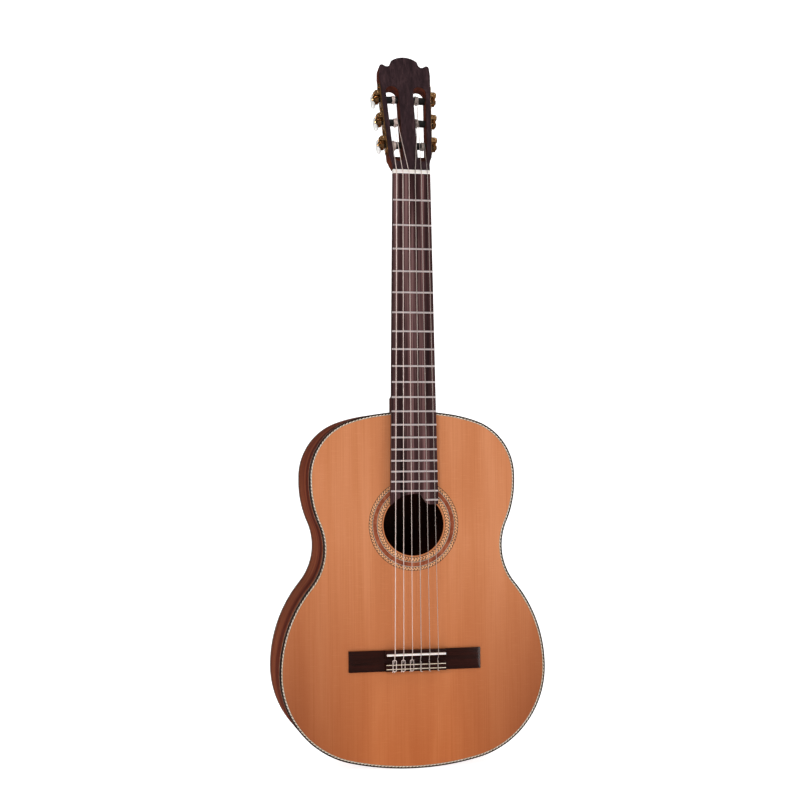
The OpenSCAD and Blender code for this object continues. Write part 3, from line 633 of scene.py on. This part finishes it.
def band(name, inset0, inset1, y0, y1, material, slot, round_r=0.0, **options):
    """A strip round the body between two insets; its outer front corner may be rounded."""
    def at(y):
        return y if callable(y) else (lambda x, z: y)

    front, rear = at(y0), at(y1)
    loops = []
    for k in range(4 if round_r else 1):
        a = math.pi / 6 * k
        loops.append(edge_loop(inset0 + round_r * (1 - math.sin(a)),
                               lambda x, z, d=round_r * (1 - math.cos(a)): front(x, z) + d))
    loops += [edge_loop(inset0, rear), edge_loop(inset1, rear), edge_loop(inset1, front)]
    points, faces = loft(loops, wrap=True)
    make(name, points, faces, material, slot=slot, **options)


def dashes(name, inset0, inset1, lean, materials):
    """A purfling line of slanted dashes along the body's edge."""
    edge = body_edge(300)
    inner, outer = edge_loop(inset1, TOP_Y - PROUD, edge), edge_loop(inset0, TOP_Y - PROUD, edge)
    m, points, faces, kinds = len(edge), [], [], []
    for j in range(m):
        points += [outer[j], inner[(j + lean) % m]]
    for j in range(m):
        k = (j + 1) % m
        faces.append((2 * j, 2 * k, 2 * k + 1, 2 * j + 1))
        kinds.append(j % len(materials))
    make(name, points, faces, materials, slot="light_trim", smooth=False, kinds=kinds)


def build_edges():
    """The bindings and purflings, and the pale lines between the bindings and the sides."""
    front, line_front = TOP_Y + BINDING_H, TOP_Y + BINDING_H + SIDE_LINE
    rear, line_rear = back_y(BINDING_H), back_y(BINDING_H + SIDE_LINE)
    rope, fillet = RIB_T + 0.7, RIB_T + 1.15
    band("binding_front", 0, RIB_T, TOP_Y, front, BINDING, "rosewood", 0.5, stands_for="binding_top")
    band("binding_rear", 0, RIB_T, back_y(0), rear, BINDING, "rosewood", stands_for="binding_back")
    band("purfling_bed", RIB_T, TOP_INSET, TOP_Y + 0.05, TOP_Y + 1.2, DARK_LINE, "light_trim",
         stands_for="purfling_top")
    dashes("purfling_rope", RIB_T - 0.3, rope, 1, (MAPLE, BINDING))
    dashes("purfling_fillet", rope, fillet, 0, (MAPLE,))
    band("side_line_front", 0, RIB_T, front, line_front, MAPLE, "light_trim")
    band("side_line_rear", 0, RIB_T, line_rear, rear, MAPLE, "light_trim")


def build_sides():
    """The two ribs, from the tail's middle to the neck on each side."""
    half, steps = len(EDGE) // 2, 6
    front, rear = TOP_Y + BINDING_H + SIDE_LINE, back_y(BINDING_H + SIDE_LINE)
    for name, node, span in (("side_treble_rib", "side_treble", range(0, half + 1)),
                             ("side_bass_rib", "side_bass", range(half, 2 * half + 1))):
        part = [EDGE[i % len(EDGE)] for i in span]
        outer = [edge_loop(0, lambda x, z, t=k / steps: front * (1 - t) + rear(x, z) * t, part)
                 for k in range(steps + 1)]
        inner = [edge_loop(RIB_T, rear, part), edge_loop(RIB_T, front, part)]
        points, faces = loft(outer + inner, wrap=True, closed=False)
        rib = make(name, points, faces, MAHOGANY_SIDE, stands_for=node, slot="mahogany")
        soften(rib, 0.05, 1, 60)


def shrunk(share):
    """The back's edge drawn in towards the soundhole's middle."""
    return [(p.x * share, HOLE_Z + (p.z - HOLE_Z) * share) for p in edge_loop(RIB_T, 0.0)]


def build_back():
    """The arched back with its centre strip."""
    rear, front = back_y(PANEL_FACE), back_y(PANEL_INSIDE)
    loops = [
        [Vector((x, rear(x, z), z)) for x, z in shrunk(share)]
        for share in (1.0, 0.97, 0.9, 0.8, 0.65, 0.5, 0.35, 0.2, 0.08)
    ]
    points, faces = loft(loops)
    # the outer face's middle, the rim, and the inner face as a fan about its own middle
    m, last, centre = len(EDGE), (len(loops) - 1) * len(EDGE), len(points)
    points.append(Vector((0, rear(0, HOLE_Z), HOLE_Z)))
    faces += [(last + j, last + (j + 1) % m, centre) for j in range(m)]
    start = len(points)
    points += [Vector((x, front(x, z), z)) for x, z in shrunk(1.0)]
    faces += [(j, start + j, start + (j + 1) % m, (j + 1) % m) for j in range(m)]
    middle, outside = len(points), len(faces)
    points.append(Vector((0, front(0, HOLE_Z), HOLE_Z)))
    faces += [(start + j, middle, start + (j + 1) % m) for j in range(m)]
    # the inner faces take the mahogany painted dark as shade inside the body
    make("back_panel", points, faces, (MAHOGANY_BACK, INNER_BACK_SHADE), stands_for="back_plate", slot="mahogany",
         kinds=[int(k >= outside) for k in range(len(faces))])

    strip_depth, steps = 0.4, 60
    heights = [BODY_FOOT + RIB_T + (BODY_L - 2 * RIB_T) * i / steps for i in range(steps + 1)]
    for name, half, lift, material in (("back_strip_dark", 3.2, 0.05, DARK_LINE),
                                       ("back_strip", 2.2, 0.1, MAPLE),
                                       ("back_strip_middle", 0.7, 0.15, BRIDGE_WOOD)):
        strip = [[Vector((s * half, rear(0, z) + lift, z)) for s in (-1, 1)] for z in heights]
        base = [[p - Vector((0, strip_depth + lift, 0)) for p in row] for row in strip]
        points, faces = joined(loft(strip, closed=False), loft(base, closed=False))
        make(name, points, faces, material, slot="light_trim")


build_top()
build_rosette()
build_edges()
build_sides()
build_back()
for node in ("linings", "soundboard_braces", "back_braces", "tail_block"):
    dress(node, SPRUCE, 0.4)


# ---- neck and fingerboard -------------------------------------------------------------------


def board_half(z):
    """Half the fingerboard's width, which grows by the flare from the nut to the twelfth fret."""
    return NUT_HALF + BOARD_FLARE * max(0, -z) / (SCALE / 2)


def neck_section(z, depth, heel):
    """Half-round for the shaft, and a wedge with a round end as heel goes from 0 to 1."""
    ribs, taper, power, nose, nose_l = 48, 0.66, 0.9, 0.8, 0.2
    loop = []
    for i in range(ribs + 1):
        a = math.pi * i / ribs
        u = min(1.0, math.sin(a))
        shaft_half = math.sqrt(max(0, 1 - u * u))
        nose_half = math.sqrt(max(0, 1 - (max(0, u - nose) / nose_l) ** 2))
        half = (1 - heel) * shaft_half + heel * (1 - taper * u ** power) * nose_half
        side = -math.copysign(1, math.cos(a))
        loop.append(Vector((side * board_half(z) * half, BOARD_T + depth * u, z)))
    return loop


def build_neck():
    """The shaft and heel, cut flat at the head and the heel cap, and the neck's foot inside the body."""
    z_start, heel_l, heel_flat, drop = 6, 75.0, 18, 110.0
    depth0, depth1, into_body = 14.5, 16.5, 8
    shaft_steps, heel_steps = 24, 40
    z_heel = BODY_TOP + heel_l
    shaft = []
    for t in (k / shaft_steps for k in range(shaft_steps + 1)):
        shaft.append(neck_section(z_start - (z_start - z_heel) * t, depth0 + (depth1 - depth0) * t, 0))
    heel = []
    for a in (math.pi / 2 * k / heel_steps for k in range(1, heel_steps + 1)):
        bend = 1 - math.cos(a)
        heel.append(neck_section(z_heel - (heel_l - heel_flat) * math.sin(a),
                                 depth1 + (drop - depth1) * bend, bend))
    end = [neck_section(BODY_TOP - into_body, drop, 1)]
    points, faces = loft(shaft + heel + end, caps=True)
    neck = make("neck_shaft", points, faces, MAHOGANY_NECK, stands_for="neck", slot="mahogany")
    cap_y = corners("heel_cap")[0].y
    work = bmesh.new()
    work.from_mesh(neck.data)
    for at, normal in ((head_point(0, 0, 0), head_point(0, 0, 1) - head_point(0, 0, 0)),
                       (Vector((0, cap_y, 0)), Vector((0, 1, 0)))):
        everything = work.verts[:] + work.edges[:] + work.faces[:]
        cut = bmesh.ops.bisect_plane(work, geom=everything, plane_co=at * MM, plane_no=normal,
                                     clear_outer=True)
        edges = [g for g in cut["geom_cut"] if isinstance(g, bmesh.types.BMEdge)]
        bmesh.ops.holes_fill(work, edges=edges)
    bmesh.ops.recalc_face_normals(work, faces=work.faces)
    work.to_mesh(neck.data)
    work.free()
    soften(neck, 0.3, 2, 50)

    foot_half, foot_y, foot_z = 32, 102, (BODY_TOP - 50, BODY_TOP - 7)
    outline = ((-foot_half, INNER_Y), (foot_half, INNER_Y), (foot_half, foot_y), (-foot_half, foot_y))
    ends = [[Vector((x, y, z)) for x, y in outline] for z in foot_z]
    foot = make("neck_foot", *loft(ends, caps=True), MAHOGANY_NECK, slot="mahogany")
    soften(foot, 1.0)


build_neck()
dress("heel_cap", BINDING, 0.4)
dress("fingerboard", ROSEWOOD, 0.25)
dress("frets", FRET_METAL, 0.12)
dress("nut", BONE)


# ---- bridge ---------------------------------------------------------------------------------

dress("bridge", BRIDGE_WOOD, 0.35)
dress("saddle", BONE, 0.2)
dress("tie_block_trim", MAPLE, 0.05)


# ---- head and tuners ------------------------------------------------------------------------

dress("headstock", MAHOGANY_NECK, 0.5)
dress("head_veneer", VENEER, 0.7, segments=3)
dress("tuner_plates", GILT_DARK, 0.12)
dress("plate_screws", GILT, 0.15)


def worm_surface(n):
    """The worm's screw surface, as in the CAD but finer."""
    sides, per_turn = 40, 20
    crest, depth, land, slope = 4.4, 1.7, 0.3, 0.48
    loops = []
    for k in range(per_turn * WORM_TURNS + 1):
        turn = k / per_turn - WORM_TURNS / 2
        loop = []
        for j in range(sides):
            phase = turn - j / sides + 0.75
            off = abs(phase - round(phase)) * WORM_LEAD
            r = crest - depth * min(1, max(0, (off - land) / slope))
            a = TAU * j / sides
            loop.append(tuner_point(n, WORM_X + r * math.cos(a), WORM_LEAD * turn, WORM_Z - r * math.sin(a)))
        loops.append(loop)
    return loft(loops, caps=True)


def rounded(value, power):
    """A sine or cosine flattened towards a rounded square."""
    return math.copysign(abs(value) ** power, value)


def build_button(n):
    """An oval pad, thinner in the middle of its length."""
    length, thick, depth, centre = 9.6, 3.6, 7, 21.5
    rings, sides = 24, 32
    loops = []
    for t in (math.pi * k / rings for k in range(1, rings)):
        z, ring = -length * math.cos(t), max(0.05, math.sin(t)) ** 0.55
        waist = 0.86 + 0.14 * min(1, (z / 6.5) ** 2)
        loops.append([
            tuner_point(n, WORM_X + waist * thick * ring * rounded(math.cos(a), 0.8),
                        centre + depth * ring * rounded(math.sin(a), 0.75), WORM_Z + z)
            for a in (TAU * j / sides for j in range(sides))
        ])
    points, faces = loft(loops, caps=True)
    button = make(f"button_{n}", points, faces, PEARL, body=f"knob_{n}", stands_for=f"tuner_button_{n}",
                  slot="pearloid")
    button.modifiers.new("smooth", "SUBSURF").render_levels = 1


def build_tuner(n):
    """The worm on its shaft, the button, and the finish of the gear and the roller."""
    def on_shaft(along, u, v):
        return tuner_point(n, WORM_X + u, along, WORM_Z + v)

    half, ear = WORM_TURNS / 2 * WORM_LEAD, 4.9
    collars = [lathe([(s * half, 2.5), (s * ear, 2.5)], on_shaft) for s in (-1, 1)]
    shaft = lathe([(-7.2, 0.9), (-7.2, 1.4), (-7.0, 1.6), (-ear, 1.6)], on_shaft)
    stem = lathe([(ear, 1.6), (11.6, 1.6), (11.8, 2.6), (12.2, 3.2), (12.9, 3.2), (13.2, 2.7), (13.6, 2.7),
                  (13.9, 3.2), (16, 3.2)], on_shaft)
    points, faces = joined(worm_surface(n), *collars, shaft, stem)
    worm = make(f"worm_{n}", points, faces, GILT, body=f"knob_{n}", stands_for=f"tuner_worm_{n}", slot="gilt")
    soften(worm, 0.08, 1, 50)
    build_button(n)
    dress(f"tuner_gear_{n}", GILT, 0.1)
    dress(f"string_roller_{n}", BLACK_NYLON, 0.2)


def scroll(n, z0, height, turn, flip):
    """A spiral leaf on a tuner plate."""
    count, radius, turns, thick = 40, 3.3, 1.75, 0.34
    path, widths = [], []
    for t in (k / (count - 1) for k in range(count)):
        a, r = turn + flip * turns * TAU * t, radius * (1 - 0.85 * t)
        y = 4.1 * flip + r * math.cos(a) * 0.9
        path.append(tuner_point(n, PLATE_X, y, z0 + height + r * math.sin(a)))
        widths.append(thick * (1 - 0.6 * t))
    return tube(path, widths, 6)


def stadium(r):
    """The plate's outline, two half circles and the straight sides between them, as (y, z) pairs."""
    steps = 24
    turn = [math.pi * k / steps for k in range(steps + 1)]
    low = [(r * math.cos(a), -6 - r * math.sin(a)) for a in turn]
    high = [(-r * math.cos(a), 87 + r * math.sin(a)) for a in turn]
    return low + high + low[:1]


def build_scrolls():
    """Scrolls in mirrored pairs and a raised rim on each tuner plate."""
    for n, side in ((1, "treble"), (6, "bass")):
        parts = []
        for z0, height, turn in ((22, -3.6, 0.6), (22, 3.6, -0.6), (57, -3.6, 0.6), (57, 3.6, -0.6),
                                 (88, -4.5, 0.4), (-9.5, 3.2, -0.4)):
            parts.append(scroll(n, z0, height, math.pi - turn, -1))
            parts.append(scroll(n, z0, height, turn, 1))
        rim = [tuner_point(n, PLATE_X, y, z) for y, z in stadium(7.2)]
        parts.append(tube(rim, 0.28, 6))
        make(f"plate_scrolls_{side}", *joined(*parts), GILT, slot="gilt")


for n in range(1, 7):
    build_tuner(n)
build_scrolls()


# ---- strings --------------------------------------------------------------------------------


def string_x(n, spread):
    """String n's place across the neck, where the outer strings are spread apart."""
    return spread * ((6 - n) / 5 - 0.5)


def landing(n):
    """Where string n meets its roller: the angle there and the winding's radius and height."""
    r = STRING_R[n]
    start = Vector((string_x(n, NUT_SPREAD), NUT_TOP_Y - r, 1))
    c, s = math.cos(HEAD_TILT), math.sin(HEAD_TILT)
    y = (start.y - HEAD_Y) * c - (start.z - NUT_T) * s
    z = (start.y - HEAD_Y) * s + (start.z - NUT_T) * c
    v = tuner_height(n) + (edge_at(tuner_height(n)) - COIL_X[n]) * math.tan(EDGE_TURN)
    reach = ROLLER_R + r
    d = Vector((z - v, y - ROLLER_Y))
    return bearing(d) + math.acos(reach / d.length), reach, v


def on_roller(n, angle, radius, v, x):
    """A point about roller n's axis, at height v up the head and x out from its middle."""
    return head_point(side_of(n) * x, ROLLER_Y + radius * math.sin(angle), v + radius * math.cos(angle))


def build_string(n):
    """String n from its roller to the tie block, and its winding on the roller."""
    r = STRING_R[n]
    material, slot = (NYLON, "clear_nylon") if n <= 3 else (WOUND, "wound_string")
    angle, radius, v = landing(n)
    outer, width = COIL_X[n] + COIL_W[n] / 2 - r, COIL_W[n] - 2 * r
    x = string_x(n, SADDLE_SPREAD)
    start = on_roller(n, angle, radius, v, outer)
    nut = Vector((string_x(n, NUT_SPREAD), NUT_TOP_Y - r, 0))
    saddle = Vector((x, SADDLE_TOP_Y - r, -SCALE - 3))
    to_nut = [start, start.lerp(nut, 0.5), nut + Vector((0, 0.35, 1.6)), nut]
    free = [nut.lerp(saddle, t) for t in (0.02, *(k / 12 for k in range(1, 12)), 0.995)]
    to_hole = [saddle, Vector((x, -4.1, -SCALE - 5.4)), Vector((x, -0.4, TIE_FRONT + 1.4)),
               Vector((x, 0.3, TIE_FRONT - 0.6)), Vector((x, 0.3, TIE_REAR + 0.6))]
    path = to_nut + free + to_hole
    # enough points where it bends, few along the free length
    first, last = len(to_nut), len(to_nut) + len(free) - 2
    line = []
    for k in range(len(path) - 1):
        line.append(path[k])
        if k < first or k > last:
            line += [path[k].lerp(path[k + 1], t) for t in (0.25, 0.5, 0.75)]
    line.append(path[-1])
    knot = wound_knot(x, r) if n > 3 else plain_knot(x, r)
    make(f"guitar_string_{n}", *joined(tube(line, r, 12), *knot), material, stands_for=f"string_{n}",
         slot=slot)

    # the turns on the roller, a hair apart, and the free end laid back over them
    turns = width / (2.06 * r)
    coil, steps = [], int(turns * 28)
    for k in range(steps + 1):
        t = k / steps
        wobble = 0.06 * noise.noise(Vector((k * 0.15, n, 0)))
        coil.append(on_roller(n, angle + TAU * turns * t, radius + wobble, v, outer - width * t))
    end, end_steps, end_turns = [coil[-1]], 21, 1.092
    for t in (k / end_steps for k in range(1, end_steps + 1)):
        lift = 2 * r * min(1, 2.5 * t) + 2.5 * max(0, t - 0.8)
        end.append(on_roller(n, angle + TAU * (turns + end_turns * t), radius + lift, v,
                             outer - width + width * 0.75 * t))
    make(f"winding_{n}", *joined(tube(coil, r, 10), tube(curve_through(end, 3), r, 10)), material,
         body=f"roller_{n}", stands_for=f"string_winding_{n}", slot=slot)


def wound_knot(x, r):
    """The string's end comes back over the tie block and forms a long loop on it."""
    y, half = -2 - r, 2.3
    front, back = TIE_FRONT + 4.4, TIE_REAR + 0.4
    ring = [
        Vector((x + half * across, y + rise, z))
        for across, rise, z in (
            (-1, 0, front - 2.4), (-0.9, 0, front - 0.9), (0, -0.45, front), (0.9, 0, front - 0.9),
            (1, 0, front - 2.4), (1, 0, back + 2.6), (0.85, 0, back + 0.8), (0, 0.2, back),
            (-0.85, 0, back + 0.8), (-1, 0, back + 2.6),
        )
    ]
    rise = [Vector((x, 0.3, TIE_REAR + 0.6)), Vector((x, -0.2, TIE_REAR - r - 0.1)),
            Vector((x, y + 0.8, TIE_REAR - r)), Vector((x + 0.2, y - 0.1, TIE_REAR + 0.9))]
    tail = [Vector((x - half, y, back + 2)), Vector((x - half - 0.4, y + 0.4, TIE_REAR - 0.2)),
            Vector((x - half - 0.5, y + 2.4, TIE_REAR - r - 0.2))]
    return [tube(curve_through(part, 5), r, 10) for part in (ring + ring[:1], rise, tail)]


def plain_knot(x, r):
    """Two strands twisted round each other over the tie block, and a short free end."""
    y, start = -2 - 1.9 * r, TIE_FRONT + 1
    count, turns = 45, 2.4
    strands = []
    for phase in (0, math.pi):
        path = []
        for t in (k / (count - 1) for k in range(count)):
            a = phase + turns * TAU * t
            path.append(Vector((x + 1.1 * r * math.cos(a), y + 0.9 * r * math.sin(a),
                                start + (TIE_REAR - start) * t)))
        strands.append(tube(path, r, 10))
    end = [Vector((x, y, TIE_REAR)), Vector((x + 0.8, y + 0.2, TIE_REAR - r - 0.2)),
           Vector((x + 2.2, y + 0.8, TIE_REAR - 0.8))]
    rise = [Vector((x, 0.3, TIE_REAR + 0.6)), Vector((x, -0.2, TIE_REAR - r - 0.1)),
            Vector((x, y + 0.6, TIE_REAR - r)), Vector((x, y, TIE_REAR + 0.8))]
    hook = [Vector((x - r, y, start)), Vector((x - 0.2, y - r, TIE_FRONT + 1.9)),
            Vector((x + r, y + 0.4, TIE_FRONT + 1.2))]
    return strands + [tube(curve_through(part, 5), r, 10) for part in (end, rise, hook)]


for n in range(1, 7):
    build_string(n)


# ---- studio ---------------------------------------------------------------------------------


def build_world():
    """The backdrop looks white, but lights and reflects as a dim grey room would."""
    world = bpy.data.worlds.new("studio")
    world.use_nodes = True
    tree = world.node_tree
    seen = tree.nodes.new("ShaderNodeLightPath").outputs["Is Camera Ray"]
    white = tree.nodes["Background"]
    white.inputs["Color"].default_value = (1, 1, 1, 1)
    room = tree.nodes.new("ShaderNodeBackground")
    room.inputs["Color"].default_value = (1, 0.97, 0.95, 1)
    # bright on the camera's side and dark behind the guitar
    split = tree.nodes.new("ShaderNodeSeparateXYZ")
    tree.links.new(tree.nodes.new("ShaderNodeTexCoord").outputs["Generated"], split.inputs[0])
    level = tree.nodes.new("ShaderNodeMapRange")
    for key, value in (("From Min", -1), ("From Max", 1), ("To Min", 0.14), ("To Max", 0.02)):
        level.inputs[key].default_value = value
    tree.links.new(split.outputs["Y"], level.inputs["Value"])
    tree.links.new(level.outputs["Result"], room.inputs["Strength"])
    choose = tree.nodes.new("ShaderNodeMixShader")
    for socket, value in zip(choose.inputs, (seen, room.outputs[0], white.outputs[0])):
        tree.links.new(value, socket)
    tree.links.new(choose.outputs[0], tree.nodes["World Output"].inputs["Surface"])
    bpy.context.scene.world = world


def build_floor():
    """A floor that sweeps up into the backdrop, in metres."""
    gap, half, front, bend, wall = 0.0005, 7, -6, 1.5, 6.0
    floor_z = CAD_BOX[0].z - gap
    sweep = [(bend + bend * math.sin(a), bend - bend * math.cos(a))
             for a in (math.pi / 2 * k / 24 for k in range(25))]
    profile = [(front, 0.0)] + sweep + [(2 * bend, wall)]
    points = [(x, y, floor_z + z) for y, z in profile for x in (-half, half)]
    mesh = bpy.data.meshes.new("floor")
    mesh.from_pydata(points, [], [(2 * k, 2 * k + 1, 2 * k + 3, 2 * k + 2) for k in range(len(profile) - 1)])
    mesh.polygons.foreach_set("use_smooth", [True] * len(mesh.polygons))
    s = Shader("floor_paper", Emission_Color=(1, 1, 1, 1), Emission_Strength=0.9)
    fine = s.noise((40, 40, 40), 4, 0.6)
    colour = s.ramp(fine, (0.3, srgb(196, 196, 196)), (0.7, srgb(206, 206, 206)))
    mesh.materials.append(s.done(colour, s.span(fine, 0.8, 0.9)))
    floor = bpy.data.objects.new("floor", mesh)
    bpy.context.scene.collection.objects.link(floor)
    floor.visible_glossy = False


def build_lights():
    """Four round lights aimed at the guitar's middle, with places in metres and powers in watts."""
    target = Vector((0, 0.05, -0.35))
    for name, place, size, power, colour in (
        ("key", (-2.1, -2.6, 0.8), 1.2, 41, (1.0, 0.98, 0.96)),
        ("fill", (1.9, -1.3, 2.4), 1.2, 28, (1.0, 0.98, 0.97)),
        ("edge", (2.85, -1.6, -0.35), 1.5, 32, (1.0, 0.99, 0.98)),
        ("top", (0.3, 0.6, 2.4), 1.2, 12, (1.0, 1.0, 1.0)),
    ):
        light = bpy.data.lights.new(name, "AREA")
        light.shape, light.size, light.energy, light.color = "DISK", size, power, colour
        lamp = bpy.data.objects.new(name, light)
        lamp.location = place
        lamp.rotation_euler = (target - Vector(place)).to_track_quat("-Z", "Y").to_euler()
        bpy.context.scene.collection.objects.link(lamp)


def build_camera():
    """The photograph's camera, from the fit to the frets, nut, bridge and outline."""
    camera = bpy.data.objects.new("camera", bpy.data.cameras.new("camera"))
    camera.data.lens, camera.data.sensor_width = 67.5, 36
    right = Vector((0.97668, -0.21456, -0.0082))
    ahead = Vector((0.21472, 0.97587, 0.03957))
    up = Vector((-0.00049, -0.0404, 0.99918))
    turn = Matrix((right, up, -ahead)).transposed().to_4x4()
    camera.matrix_world = Matrix.Translation((-0.4559, -1.9849, -0.3902)) @ turn
    bpy.context.scene.collection.objects.link(camera)
    bpy.context.scene.camera = camera
    bpy.context.scene.view_settings.view_transform = "Standard"


build_world()
build_floor()
build_lights()
build_camera()
